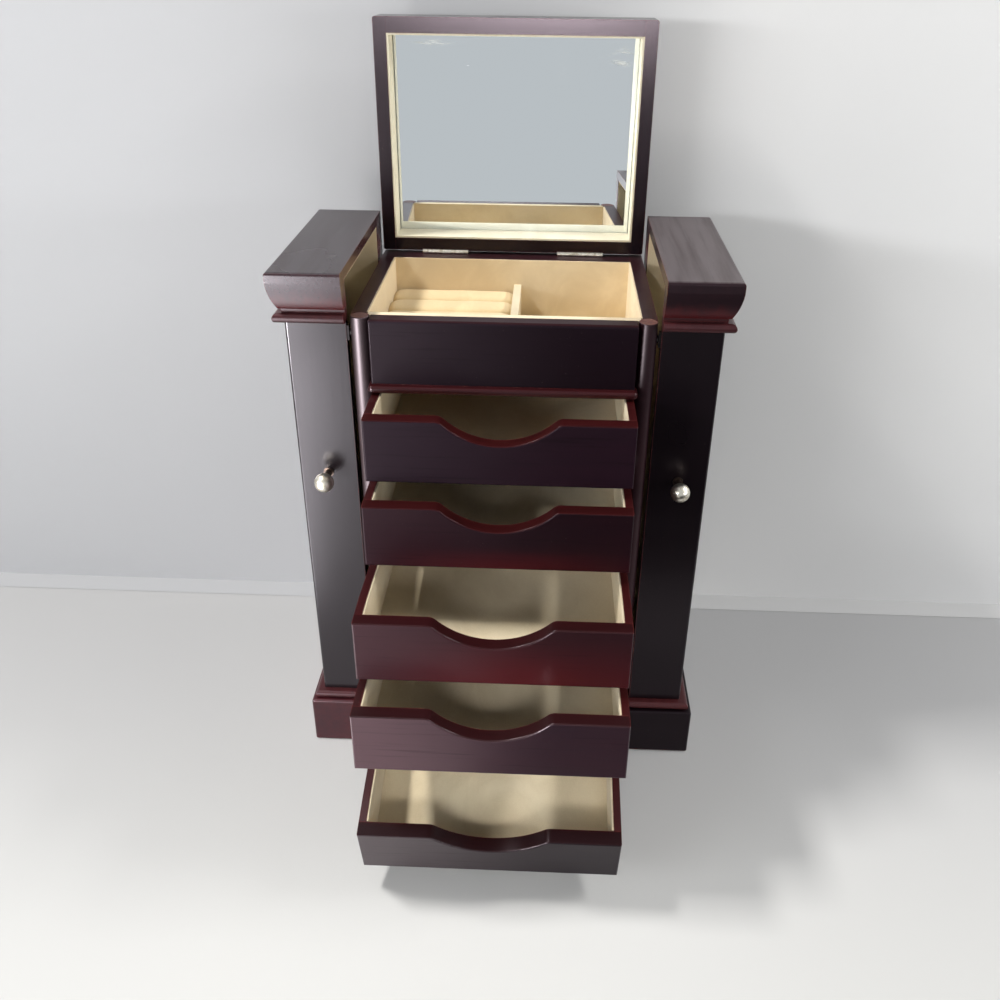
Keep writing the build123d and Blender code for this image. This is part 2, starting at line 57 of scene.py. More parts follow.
class Graph:
    """One material's node tree, with short names for the nodes that the materials share."""

    def __init__(self, name):
        self.material = bpy.data.materials.new(name)
        self.material.use_nodes = True
        self.tree = self.material.node_tree
        self.tree.nodes.clear()
        self.output = self.node("ShaderNodeOutputMaterial")
        self.shader = self.node("ShaderNodeBsdfPrincipled")
        self.link(self.shader.outputs[0], self.output.inputs["Surface"])
        self.place = self.node("ShaderNodeTexCoord")

    def node(self, kind, **settings):
        made = self.tree.nodes.new(kind)
        for key, value in settings.items():
            setattr(made, key, value)
        return made

    def link(self, source, target):
        self.tree.links.new(source, target)

    def feed(self, target, value):
        if isinstance(value, bpy.types.NodeSocket):
            self.link(value, target)
        else:
            target.default_value = value

    def put(self, **values):
        """Sets or links the shader's sockets: base_color is the socket called Base Color."""
        names = {s.name.lower().replace(" ", "_"): s for s in self.shader.inputs}
        for key, value in values.items():
            self.feed(names[key], value)

    def noise(self, scale, detail=4.0, rough=0.5, stretch=(1, 1, 1), move=(0, 0, 0),
              distortion=0.0):
        """Noise in the frame's metres, stretched and moved."""
        mapping = self.node("ShaderNodeMapping")
        mapping.inputs["Scale"].default_value = stretch
        mapping.inputs["Location"].default_value = move
        self.link(self.place.outputs["Object"], mapping.inputs["Vector"])
        tex = self.node("ShaderNodeTexNoise")
        tex.inputs["Scale"].default_value = scale
        tex.inputs["Detail"].default_value = detail
        tex.inputs["Roughness"].default_value = rough
        tex.inputs["Distortion"].default_value = distortion
        self.link(mapping.outputs[0], tex.inputs["Vector"])
        return tex.outputs[0]

    def span(self, value, low, high, out_low=0.0, out_high=1.0):
        """value carried smoothly from low..high to out_low..out_high, held at the ends."""
        made = self.node("ShaderNodeMapRange", clamp=True, interpolation_type="SMOOTHSTEP")
        for socket, number in zip(made.inputs, (value, low, high, out_low, out_high)):
            self.feed(socket, number)
        return made.outputs[0]

    def math(self, operation, a, b=0.0):
        made = self.node("ShaderNodeMath", operation=operation)
        self.feed(made.inputs[0], a)
        self.feed(made.inputs[1], b)
        return made.outputs[0]

    def mix(self, factor, a, b):
        made = self.node("ShaderNodeMix", data_type="RGBA")
        self.feed(made.inputs[0], factor)
        self.feed(made.inputs[6], a)
        self.feed(made.inputs[7], b)
        return made.outputs[2]

    def axis(self, vector, name):
        """One of a vector's X, Y and Z."""
        split = self.node("ShaderNodeSeparateXYZ")
        self.link(vector, split.inputs[0])
        return split.outputs[name]

    def bump(self, height, strength, distance):
        made = self.node("ShaderNodeBump")
        made.inputs["Strength"].default_value = strength
        made.inputs["Distance"].default_value = distance
        self.link(height, made.inputs["Height"])
        return made.outputs[0]

    def edges(self, radius):
        """0 on flat faces, rising to about 0.3 on the arrises, over a radius on each side."""
        soft = self.node("ShaderNodeBevel", samples=EDGE_SAMPLES)
        soft.inputs["Radius"].default_value = radius
        flat = self.node("ShaderNodeNewGeometry")
        turn = self.node("ShaderNodeVectorMath", operation="DOT_PRODUCT")
        self.link(soft.outputs[0], turn.inputs[0])
        self.link(flat.outputs["Normal"], turn.inputs[1])
        return self.math("SUBTRACT", 1.0, turn.outputs["Value"])


# ---------------------------------------------------------------- materials
# GRAIN and PORES stretch a pattern along the named axis. GLOW_RED is the stain low on some
# fronts. WORN_RED and WORN_PALE are lacquer and bare wood at worn arrises.
GRAIN = {"x": (0.06, 1, 1), "y": (1, 0.06, 1), "z": (1, 1, 0.06)}
PORES = {"x": (0.03, 1, 1), "y": (1, 0.03, 1), "z": (1, 1, 0.03)}
SHEEN_TINT = (1.0, 0.86, 0.93, 1.0)
COOL_TINT = (0.97, 0.93, 1.0, 1.0)
GLOW_RED = srgb(92, 18, 20)
WORN_RED = srgb(88, 34, 32)
WORN_PALE = srgb(150, 106, 98)
UPPER_SHADE = srgb(30, 8, 8)
PORE_DARK = srgb(8, 4, 6)
DUST = srgb(150, 135, 130)
END_PALE, END_DARK = srgb(122, 84, 76), srgb(92, 58, 54)
EDGE_SAMPLES = 6
ARRIS = 1.3 * MM
FRONT_HALF = 90 * MM
GLOW_RAGGED = 12 * MM
# PAINTED_SHEEN_RIGHT to PAINTED_SHEEN_LEFT: where the painted sheen at a front's left end fades
# in; PAINTED_SHEEN_RAGGED roughens its edge.
PAINTED_SHEEN_RIGHT, PAINTED_SHEEN_LEFT, PAINTED_SHEEN_RAGGED = 75 * MM, -70 * MM, 50 * MM


def lacquered(name, dark, warm, grain, warmth, upper=None, upper_from=0.5, wear=0.9,
              rough=0.28, move=(0, 0, 0), end_disc=False, painted_sheen=None, shine=0.34,
              tint=SHEEN_TINT, glow=None):
    """Stained and satin-lacquered wood. The stain runs from dark to warm, thins to red and then to
    bare wood at the arrises, and upper is the colour of faces that look up: a stain on most parts,
    a painted reflection on the caps' tops. haze is a paler colour painted towards the left end of
    a front, a painted sheen where the light falls from the left. glow is the redder stain low on a
    front: its lower edge, its height, its strength at the left and the share left at the right.
    end_disc bares the end grain on a post's top."""
    g = Graph(name)
    figure = g.noise(150, 4, 0.55, GRAIN[grain], move, 0.2)
    broad = g.noise(9, 2, 0.45, (1, 1, 1.4), move)
    pores = g.noise(420, 3, 0.6, PORES[grain], move)
    drift = g.math("ADD", g.math("MULTIPLY", figure, 0.45), g.math("MULTIPLY", broad, 0.55))
    share = g.span(drift, 0.3 - 0.3 * warmth, 0.8 - 0.2 * warmth, 0, min(1, 0.25 + warmth))
    colour = g.mix(share, dark, warm)
    if glow is not None:
        foot, rise, strength, far_share = glow
        height = g.axis(g.place.outputs["Object"], "Z")
        wander = g.math("MULTIPLY", g.math("SUBTRACT", figure, 0.5), GLOW_RAGGED)
        low = g.span(g.math("ADD", height, wander), foot + rise, foot, 0, strength)
        across = g.span(g.axis(g.place.outputs["Object"], "X"), -FRONT_HALF, FRONT_HALF, 1.0,
                        far_share)
        colour = g.mix(g.math("MULTIPLY", low, across), colour, GLOW_RED)
    # Painted sheen: a paler colour towards the left end of a front, where the light falls from the
    # left.
    if painted_sheen is not None:
        along = g.axis(g.place.outputs["Object"], "X")
        sheen_reach = g.math("ADD", along, g.math("MULTIPLY", broad, PAINTED_SHEEN_RAGGED))
        colour = g.mix(g.span(sheen_reach, PAINTED_SHEEN_RIGHT, PAINTED_SHEEN_LEFT), colour, painted_sheen)
    if upper is not None:
        up = g.span(g.axis(g.place.outputs["Normal"], "Z"), upper_from, upper_from + 0.3)
        shade = g.mix(figure, upper, UPPER_SHADE)
        colour = g.mix(up, colour, g.mix(g.span(figure, 0.35, 0.75), upper, shade))
    colour = g.mix(g.span(pores, 0.56, 0.72, 0, 0.35), colour, PORE_DARK)
    if end_disc:
        rings = g.noise(240, 4, 0.6, (1, 1, 0.1), move, 1.5)
        end_grain = g.mix(g.span(rings, 0.3, 0.7), END_PALE, END_DARK)
        level = g.span(g.axis(g.place.outputs["Normal"], "Z"), 0.9, 0.97)
        colour = g.mix(level, colour, end_grain)
    rubbed = g.noise(70, 5, 0.65, (1, 1, 1), (3, 1, 2))
    arris = g.edges(ARRIS)
    thin = g.math("MULTIPLY", g.span(arris, 0.02, 0.16),
                  g.span(rubbed, 0.3, 0.62, 0.35 * wear, wear))
    colour = g.mix(g.math("MINIMUM", thin, 0.85), colour, WORN_RED)
    chips = g.noise(260, 5, 0.7, (1, 1, 1), (1, 4, 2))
    chipped = g.math("MULTIPLY", g.span(chips, 0.52, 0.66), g.span(rubbed, 0.42, 0.6, 0.1, 0.9))
    bare = g.math("MULTIPLY", g.span(arris, 0.07, 0.2), chipped)
    colour = g.mix(g.math("MULTIPLY", bare, 0.8 * wear), colour, WORN_PALE)
    dust = g.noise(900, 2, 0.5, (1, 1, 1), (2, 2, 5))
    colour = g.mix(g.span(dust, 0.74, 0.8, 0, 0.22), colour, DUST)
    rub = g.noise(14, 3, 0.5)
    gloss = g.span(rub, 0.2, 0.8, rough - 0.01, rough + 0.02)
    skin = g.noise(520, 2, 0.5)
    relief = g.math("ADD", g.math("MULTIPLY", skin, 0.5), g.math("MULTIPLY", pores, 0.5))
    g.put(base_color=colour, roughness=gloss, normal=g.bump(relief, 0.12, 0.25 * MM),
          specular_ior_level=shine, specular_tint=tint)
    return g.material


def flock(name, colour, deep, pale, nap=0.5):
    """Short-pile flocked card: a fine nap, brushed patches and a soft sheen."""
    g = Graph(name)
    fibre = g.noise(2600, 3, 0.75)
    pile = g.noise(900, 4, 0.7, (1, 1, 1), (4, 1, 1))
    brushed = g.noise(26, 4, 0.6, (1, 0.6, 1), (1, 2, 3), 0.6)
    tone = g.mix(g.span(brushed, 0.36, 0.66), deep, colour)
    tone = g.mix(g.span(fibre, 0.42, 0.68, 0, 0.5), tone, pale)
    tone = g.mix(g.span(pile, 0.55, 0.72, 0, 0.3), tone, deep)
    relief = g.math("ADD", g.math("MULTIPLY", fibre, 0.5), g.math("MULTIPLY", pile, 0.6))
    g.put(base_color=tone, roughness=0.92, normal=g.bump(relief, nap, 0.25 * MM),
          specular_ior_level=0.2, sheen_weight=0.25, sheen_roughness=0.5)
    return g.material


# The pane sits a little askew in its frame. PAINTED_GLINTS are painted glints near its top, pale
# patches that stand for a lamp's reflection: the middle of each, across and up, and its half width
# and half height.
PANE_TURN = math.radians(2.0)
PAINTED_GLINTS = ((-0.062, 0.5075, 0.026, 0.0032), (0.078, 0.499, 0.018, 0.009))


def silvered():
    """Mirror glass: bright silver with a faint cool cast, specks, a wiped film, and a few painted
    glints near its top that stand for a lamp's reflection.
    """
    g = Graph("mirror silver")
    wiped = g.noise(14, 4, 0.6, (1, 1, 0.35), (2, 3, 1), 1.2)
    specks = g.noise(700, 2, 0.5, (1, 1, 1), (5, 1, 3))
    film = g.math("MULTIPLY", g.span(wiped, 0.58, 0.78), 0.05)
    colour = g.mix(g.span(specks, 0.76, 0.8, 0, 0.25), srgb(236, 242, 246), srgb(250, 250, 246))
    place = g.place.outputs["Object"]
    across = g.axis(place, "X")
    height = g.axis(place, "Z")
    strokes = g.noise(170, 4, 0.6, (0.2, 1, 1), (4, 0, 2), 0.8)
    # Painted glints: pale, non-metal patches that stand for a lamp's reflection.
    glint = None
    for x, z, half_x, half_z in PAINTED_GLINTS:
        off = [g.math("DIVIDE", g.math("ABSOLUTE", g.math("SUBTRACT", at, middle)), half)
               for at, middle, half in ((across, x, half_x), (height, z, half_z))]
        inside = g.span(g.math("ADD", *off), 1.0, 0.3)
        glint = inside if glint is None else g.math("MAXIMUM", glint, inside)
    glint = g.math("MULTIPLY", glint, g.span(strokes, 0.42, 0.68, 0, 0.75))
    lean = g.node("ShaderNodeVectorMath", operation="ADD")
    g.link(g.place.outputs["Normal"], lean.inputs[0])
    lean.inputs[1].default_value = (math.tan(PANE_TURN), 0, 0)
    square = g.node("ShaderNodeVectorTransform", vector_type="NORMAL", convert_from="OBJECT",
                    convert_to="WORLD")
    g.link(lean.outputs[0], square.inputs[0])
    g.put(base_color=colour, metallic=g.math("SUBTRACT", 1.0, glint), normal=square.outputs[0],
          roughness=g.math("ADD", film, g.span(specks, 0.74, 0.8, 0.008, 0.1)),
          specular_tint=srgb(238, 246, 250))
    return g.material


def plated(name, catch_y=None, neck_y=None):
    """Satin nickel plate with fine rubbing marks and duller patches. In front of catch_y it is the
    blackened steel of a magnet catch. Behind neck_y it is darker: painted shade on a knob's neck,
    behind its ball."""
    g = Graph(name)
    cloud = g.noise(300, 4, 0.6)
    lines = g.noise(1500, 3, 0.6, (0.15, 1, 1))
    colour = g.mix(g.span(cloud, 0.4, 0.72), srgb(226, 222, 210), srgb(176, 166, 146))
    if catch_y is not None:
        depth = g.axis(g.place.outputs["Object"], "Y")
        colour = g.mix(g.span(depth, catch_y - MM, catch_y + MM), srgb(34, 32, 33), colour)
    # Painted shade on the knob's neck, behind its ball.
    if neck_y is not None:
        depth = g.axis(g.place.outputs["Object"], "Y")
        colour = g.mix(g.span(depth, neck_y, neck_y + MM), colour, srgb(96, 84, 78))
    g.put(base_color=colour, metallic=1.0,
          roughness=g.span(cloud, 0.35, 0.7, 0.28, 0.42),
          normal=g.bump(lines, 0.08, 0.05 * MM), specular_tint=srgb(250, 248, 240))
    return g.material


def blackened():
    """Oil-blackened steel of the magnet catches."""
    g = Graph("black steel")
    cloud = g.noise(400, 4, 0.6)
    g.put(base_color=g.mix(cloud, srgb(40, 38, 38), srgb(22, 21, 22)), metallic=1.0,
          roughness=g.span(cloud, 0.3, 0.7, 0.42, 0.6), normal=g.bump(cloud, 0.1, 0.1 * MM))
    return g.material


def bare_wood(name, light, dark, grain):
    """Unlacquered softwood or thin ply: soft rings and fine fibre."""
    g = Graph(name)
    rings = g.noise(60, 5, 0.6, GRAIN[grain], (1, 1, 1), 1.0)
    fibre = g.noise(700, 3, 0.6, PORES[grain])
    colour = g.mix(g.span(rings, 0.35, 0.68), light, dark)
    colour = g.mix(g.span(fibre, 0.55, 0.7, 0, 0.4), colour, dark)
    g.put(base_color=colour, roughness=g.span(fibre, 0.3, 0.7, 0.62, 0.8),
          normal=g.bump(fibre, 0.3, 0.2 * MM), specular_ior_level=0.3)
    return g.material


def felt(name, colour, pale):
    """Thick felt with loose fibres and matted patches."""
    g = Graph(name)
    fibre = g.noise(1500, 4, 0.8, (1, 1, 1), (1, 1, 1), 2.0)
    patch = g.noise(60, 3, 0.5)
    tone = g.mix(g.span(fibre, 0.4, 0.7), colour, pale)
    g.put(base_color=g.mix(g.span(patch, 0.3, 0.7, 0, 0.3), tone, colour), roughness=0.95,
          normal=g.bump(fibre, 0.7, 0.4 * MM), specular_ior_level=0.15, sheen_weight=0.3)
    return g.material


def moulded(name, colour, pale):
    """Moulded nylon with a slight cloud in its colour and gloss."""
    g = Graph(name)
    grain = g.noise(800, 3, 0.6)
    g.put(base_color=g.mix(g.span(grain, 0.4, 0.7), colour, pale),
          roughness=g.span(grain, 0.3, 0.7, 0.4, 0.52), normal=g.bump(grain, 0.1, 0.1 * MM),
          specular_ior_level=0.5)
    return g.material


PLUM = srgb(22, 12, 19)
BLACK_PLUM = srgb(14, 8, 13)
DEEP_RED = srgb(50, 11, 12)
AUBERGINE = srgb(30, 16, 25)
RED_BROWN = srgb(50, 20, 24)

# The five drawer fronts: two stains and the share of the warmer one, a paler colour painted at
# the left end as a painted sheen, where in the figure the front was cut, the sheen, the red low on
# the front, and the rim's stain.
drawer_fronts = {
    1: dict(dark=AUBERGINE, warm=srgb(40, 18, 30), warmth=0.2, painted_sheen=srgb(38, 24, 35),
            move=(0, 0, 0), shine=0.1, upper=srgb(50, 14, 15)),
    2: dict(dark=srgb(22, 11, 18), warm=srgb(36, 12, 18), warmth=0.3, painted_sheen=srgb(44, 22, 30),
            move=(2, 1, 0), shine=0.1, upper=srgb(46, 13, 14), glow=(0.2147, 0.02, 0.95, 0.12)),
    3: dict(dark=srgb(32, 18, 23), warm=srgb(48, 18, 22), warmth=0.4, painted_sheen=srgb(60, 34, 40),
            move=(1, 3, 2), shine=0.2, upper=srgb(40, 12, 14), glow=(0.1631, 0.044, 1.0, 0.28)),
    4: dict(dark=srgb(36, 24, 32), warm=srgb(48, 26, 32), warmth=0.3, painted_sheen=srgb(84, 62, 68),
            move=(4, 0, 1), shine=0.3, upper=srgb(36, 12, 14)),
    5: dict(dark=srgb(28, 22, 26), warm=srgb(32, 20, 25), warmth=0.15, painted_sheen=srgb(80, 72, 75),
            move=(0, 5, 3), shine=0.14, upper=srgb(26, 10, 12)),
}
looks = {}
for number, stain in drawer_fronts.items():
    looks["drawer_%d_front" % number] = lacquered(
        "drawer front stain %d" % number, grain="x", upper_from=0.35, wear=1.0, rough=0.3,
        **stain)
drawer_box = lacquered("drawer side stain", srgb(22, 9, 11), srgb(42, 12, 13), "y", 0.3,
                       upper=DEEP_RED, wear=0.6, rough=0.34)
bead = lacquered("bead stain", RED_BROWN, srgb(76, 34, 35), "y", 0.5, wear=0.8)
carcass = lacquered("case stain", srgb(22, 11, 15), srgb(36, 16, 20), "z", 0.3,
                    upper=srgb(46, 22, 27), upper_from=0.6, wear=0.8, rough=0.3)
# The false front also gets a paler colour painted at its left end: a painted sheen.
front_panel = lacquered("front stain", PLUM, srgb(26, 12, 22), "x", 0.15,
                        upper=srgb(46, 24, 28), wear=1.0, painted_sheen=srgb(44, 34, 42), shine=0.1)
rail = lacquered("rail stain", srgb(42, 14, 17), srgb(62, 19, 21), "x", 0.4, shine=0.24)
lid_wood = lacquered("lid stain", srgb(13, 6, 11), srgb(26, 12, 19), "z", 0.25, wear=0.7,
                     rough=0.2, move=(6, 1, 2), shine=0.3)
# The columns, caps, posts and plinths each come as a lit and a shaded copy of one stain: the left
# ones are painted lighter, where the light falls from the left, and the right ones darker. This is
# painted light and shade.
shafts = {
    "left": lacquered("left column stain with painted light", srgb(22, 14, 18), srgb(32, 19, 24), "z", 0.2,
                      wear=1.0, rough=0.22, shine=0.55, tint=COOL_TINT),
    "right": lacquered("right column stain with painted shade", BLACK_PLUM, srgb(22, 12, 17), "z", 0.2,
                       wear=1.0, shine=0.28),
}
# Left and right caps: a lit and a shaded copy of one stain, painted light and shade. Their upper
# colours are a painted reflection: the grey of the caps' tops stands for the wall that they
# reflect.
caps = {
    "left": lacquered("left cap stain with painted light", srgb(40, 18, 24), srgb(60, 24, 28), "y", 0.3,
                      upper=srgb(58, 52, 55), upper_from=0.6, rough=0.26, shine=0.5,
                      tint=COOL_TINT, glow=(0.366, 0.015, 0.8, 1.0)),
    "right": lacquered("right cap stain with painted shade", srgb(24, 12, 18), srgb(42, 18, 24), "y", 0.3,
                       upper=srgb(84, 76, 78), upper_from=0.6, rough=0.32, shine=0.26,
                       glow=(0.366, 0.012, 0.5, 1.0)),
}
# Left and right posts: a lit and a shaded copy of one stain, painted light and shade.
posts = {
    "left": lacquered("left post stain with painted light", srgb(38, 20, 25), srgb(56, 26, 30), "z", 0.35,
                      wear=0.2, rough=0.46, move=(2, 2, 2), end_disc=True, shine=0.75),
    "right": lacquered("right post stain with painted shade", srgb(29, 12, 18), srgb(46, 18, 23), "z", 0.35,
                       wear=0.2, rough=0.42, move=(2, 2, 2), end_disc=True, shine=0.25),
}
# Left and right plinths: a lit and a shaded copy of one stain, painted light and shade.
plinths = {
    "left": lacquered("left plinth stain with painted light", srgb(44, 22, 28), srgb(78, 28, 32), "y", 0.6,
                      shine=0.45),
    "right": lacquered("right plinth stain with painted shade", BLACK_PLUM, srgb(24, 13, 18), "y", 0.2, shine=0.2),
}
cream = flock("cream flock", srgb(216, 202, 172), srgb(202, 186, 154), srgb(232, 220, 194))
tray_cream = flock("tray flock", srgb(232, 214, 180), srgb(218, 198, 162), srgb(244, 230, 202))
lid_cream = flock("lid flock", srgb(222, 215, 190), srgb(210, 201, 174), srgb(236, 230, 210), 0.3)
CATCH_Y = 0.0
NECK_Y = -0.0848
nickel = plated("nickel plate")
hinge_and_catch = plated("nickel plate and black catch", catch_y=CATCH_Y)
knob_plate = plated("knob plate", neck_y=NECK_Y)
raw_wood = bare_wood("runner wood", srgb(120, 82, 60), srgb(84, 52, 38), "y")
glide = moulded("glide nylon", srgb(214, 208, 196), srgb(228, 224, 214))

looks.update({
    "back_panel": carcass, "base_apron": rail, "base_board": raw_wood,
    "base_felt": felt("base felt", srgb(26, 22, 24), srgb(60, 54, 56)),
    "bullnose_rail": rail, "case_hinge_leaves": nickel, "case_magnets": blackened(),
    "case_screws": nickel, "drawer_glides": glide, "drawer_5_glides": glide,
    "drawer_rails": rail, "drawer_runners": raw_wood, "false_front": front_panel,
    "hinge_rail": carcass, "lid_frame": lid_wood, "lid_hinge_leaves": nickel,
    "lid_lining": lid_cream, "lid_mirror": silvered(), "lid_panel": lid_wood,
    "lid_screws": nickel, "side_panel_left": carcass, "side_panel_right": carcass,
    "tray_divider": cream, "tray_floor": raw_wood, "tray_lining": tray_cream,
    "ring_rolls": cream,
})
for number in drawer_fronts:
    looks["drawer_%d_box" % number] = drawer_box
    looks["drawer_%d_lining" % number] = cream
for side in ("left", "right"):
    looks.update({
        "corner_post_%s" % side: posts[side], "column_%s_plinth" % side: plinths[side],
        "column_%s_cap" % side: caps[side], "column_%s_fittings" % side: hinge_and_catch,
        "column_%s_hooks" % side: nickel, "column_%s_knob" % side: knob_plate,
        "column_%s_lining" % side: cream, "column_%s_mouldings" % side: bead,
        "column_%s_shaft" % side: shafts[side],
    })

for name, material in looks.items():
    slots = nodes[name].data.materials
    slots.clear()
    slots.append(material)

# ---------------------------------------------------------------- ring rolls
ROLLS = 5
ROLL_ROWS = 26          # rings of points along a roll
ROLL_SEGMENTS = 28      # steps over its crown
ROLL_SHAPE = 0.5        # 1 is a round crown, less is squarer
ROLL_GAP = 0.3 * MM     # how far the CAD block is overrun in depth and undercut in length
ROLL_WANDER = 0.35 * MM
ROLL_SINK = 0.35 * MM   # keeps the wandering crown inside the CAD box
ROLL_TUCK = 0.16        # how much a roll narrows at its ends
ROLL_FOOT = 0.97        # width of the flat foot, as a share of the roll's
ROLL_CLEAR = 0.1 * MM   # left at each side of a roll
ROLL_NOISE = (60, 1.4, 3.1)     # steps of the crown's wander along, over and from roll to roll
roll_low, roll_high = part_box("ring_rolls")


def ring_roll(index):
    """One foam ring roll in its flocked cover: flat sides pressed together and a crowned top."""
    pitch = (roll_high.y - roll_low.y + ROLL_GAP) / ROLLS
    centre_y = roll_low.y - ROLL_GAP / 2 + pitch * (index + 0.5)
    half = pitch / 2 - ROLL_CLEAR
    crown_z = roll_high.z - half
    mesh = bmesh.new()
    rows = []
    for row in range(ROLL_ROWS + 1):
        t = row / ROLL_ROWS
        x = roll_low.x + ROLL_GAP + (roll_high.x - roll_low.x - 2 * ROLL_GAP) * t
        end = min(t, 1 - t) * ROLL_ROWS / 2.0
        tuck = 1 - ROLL_TUCK * max(0.0, 1 - end) ** 2
        ring = []
        for k in range(ROLL_SEGMENTS + 1):
            turn = math.pi * k / ROLL_SEGMENTS
            spot = Vector(a * b for a, b in zip((x, turn, index), ROLL_NOISE))
            wander = ROLL_WANDER * noise.noise(spot)
            side = math.copysign(abs(math.cos(turn)) ** ROLL_SHAPE, math.cos(turn))
            y = centre_y - half * tuck * side
            z = crown_z + (half - ROLL_SINK + wander) * tuck * math.sin(turn) ** ROLL_SHAPE
            ring.append(mesh.verts.new((x, y, z)))
        foot = half * tuck * ROLL_FOOT
        ring.append(mesh.verts.new((x, centre_y + foot, roll_low.z)))
        ring.append(mesh.verts.new((x, centre_y - foot, roll_low.z)))
        rows.append(ring)
    for a, b in zip(rows, rows[1:]):
        count = len(a)
        for k in range(count):
            j = (k + 1) % count
            mesh.faces.new((a[k], a[j], b[j], b[k]))
    mesh.faces.new(list(reversed(rows[0])))
    mesh.faces.new(rows[-1])
    bmesh.ops.recalc_face_normals(mesh, faces=mesh.faces)
    data = bpy.data.meshes.new("ring_roll_%d" % (index + 1))
    mesh.to_mesh(data)
    mesh.free()
    for face in data.polygons:
        face.use_smooth = len(face.vertices) == 4
    piece = bpy.data.objects.new("ring_roll_%d" % (index + 1), data)
    bpy.context.collection.objects.link(piece)
    data.materials.append(roll_cloth)
    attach(piece, "case")
    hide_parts("ring_rolls")


roll_cloth = flock("ring roll cloth", srgb(230, 208, 164), srgb(216, 192, 148),
                   srgb(242, 226, 190), 0.4)
for index in range(ROLLS):
    ring_roll(index)


# ---------------------------------------------------------------- stage
STAGE_HALF, STAGE_TOP = 4.0, 3.0
WALL_Y = 0.138          # far enough back for the columns to open in front of it
PAPER_Y = 0.114         # where the wall's paper seems to meet the table
PAPER_Z = 0.4 * MM
ROOM_Y, ROOM_HALF, ROOM_TOP, ROOM_FOOT = -1.5, 5.0, 4.0, -1 * MM
CARD_Z = 2 * MM


def slab(name, corners, material):
    """One flat piece of the stage."""
    data = bpy.data.meshes.new(name)
    data.from_pydata(corners, [], [(0, 1, 2, 3)])
    data.materials.append(material)
    made = bpy.data.objects.new(name, data)
    bpy.context.collection.objects.link(made)
    return made


def lying(x0, x1, y0, y1, z):
    """Corners of a level rectangle that faces up."""
    return [(x0, y0, z), (x1, y0, z), (x1, y1, z), (x0, y1, z)]


def one_sided(g, front):
    """Shows the surface from its front only; the back lets everything through."""
    clear = g.node("ShaderNodeBsdfTransparent")
    sides = g.node("ShaderNodeNewGeometry")
    either = g.node("ShaderNodeMixShader")
    g.link(sides.outputs["Backfacing"], either.inputs[0])
    g.link(front, either.inputs[1])
    g.link(clear.outputs[0], either.inputs[2])
    g.link(either.outputs[0], g.output.inputs["Surface"])


def painted(name, colour, pale, scale, along, low, high):
    """Matt paint or paper, ramped from colour to pale along one axis and a little uneven: the ramp
    is painted light and shade.
    """
    g = Graph(name)
    ramp = g.span(g.axis(g.place.outputs["Object"], along), low, high)
    cloud = g.math("ADD", ramp, g.math("MULTIPLY", g.noise(scale, 3, 0.5), 0.15))
    grain = g.noise(300, 3, 0.6)
    g.put(base_color=g.mix(cloud, colour, pale), roughness=0.6,
          normal=g.bump(grain, 0.05, 0.3 * MM), specular_ior_level=0.3)
    return g


def emitting(name, colour, strength):
    """A surface that gives light of its own, with its emission node linked to nothing yet."""
    g = Graph(name)
    shine = g.node("ShaderNodeEmission")
    shine.inputs["Color"].default_value = colour
    shine.inputs["Strength"].default_value = strength
    return g, shine.outputs[0]


def only_reflected(piece):
    piece.visible_camera = False
    piece.visible_shadow = False
    piece.visible_diffuse = False


def sheen_card(name, colour, strength, corners):
    """A card on the table that only reflections see, as a photographer sets a flag or a fill."""
    g, shine = emitting(name, colour, strength)
    one_sided(g, shine)
    only_reflected(slab(name, [(x, y, CARD_Z) for x, y in corners], g.material))


# The table goes from grey at the wall to white at the front, the wall from grey at the left of the
# box to white at its right: painted shade at the grey ends and painted light at the white ones.
# A strip of paper in the wall's colours covers the table's rear.
table = painted("table white", srgb(184, 184, 185), srgb(205, 205, 203), 3.0, "Y", 0.05, -0.45)
slab("table", lying(-STAGE_HALF, STAGE_HALF, -STAGE_HALF, STAGE_HALF, 0), table.material)
paper = painted("paper at the wall", srgb(182, 183, 186), srgb(212, 212, 212), 2.0, "X", -0.1,
                0.25)
slab("paper", lying(-STAGE_HALF, STAGE_HALF, PAPER_Y, WALL_Y, PAPER_Z), paper.material)
wall = painted("wall white", srgb(178, 179, 182), srgb(222, 222, 222), 2.0, "X", -0.1, 0.25)
one_sided(wall, wall.shader.outputs[0])
back_wall = slab("wall", [(-STAGE_HALF, WALL_Y, 0), (STAGE_HALF, WALL_Y, 0),
                          (STAGE_HALF, WALL_Y, STAGE_TOP), (-STAGE_HALF, WALL_Y, STAGE_TOP)],
                 wall.material)
back_wall.visible_shadow = False
back_wall.visible_diffuse = False

# What the mirror shows: the far side of a pale room.
facing, facing_light = emitting("room white", srgb(199, 201, 202), 1.0)
facing.link(facing_light, facing.output.inputs["Surface"])
only_reflected(slab("room", [(-ROOM_HALF, ROOM_Y, ROOM_FOOT), (-ROOM_HALF, ROOM_Y, ROOM_TOP),
                             (ROOM_HALF, ROOM_Y, ROOM_TOP), (ROOM_HALF, ROOM_Y, ROOM_FOOT)],
                    facing.material))
sheen_card("dark card", srgb(24, 20, 23), 1.0,
           [(-0.1, -1.45), (2.5, -1.45), (2.5, -0.3), (-0.02, -0.3)])
sheen_card("bright card", (1.0, 0.98, 0.98, 1.0), 8.0,
           [(-0.33, -0.95), (-0.20, -0.24), (-0.5, -0.24), (-0.6, -0.95)])

# ---------------------------------------------------------------- light
# The camera and reflections see a pale room; everything else gets a faint cool fill.
world = bpy.data.worlds.new("studio")
bpy.context.scene.world = world
world.use_nodes = True
sky = world.node_tree
sky.nodes.clear()


def background(colour, strength):
    made = sky.nodes.new("ShaderNodeBackground")
    made.inputs["Color"].default_value = colour
    made.inputs["Strength"].default_value = strength
    return made.outputs[0]


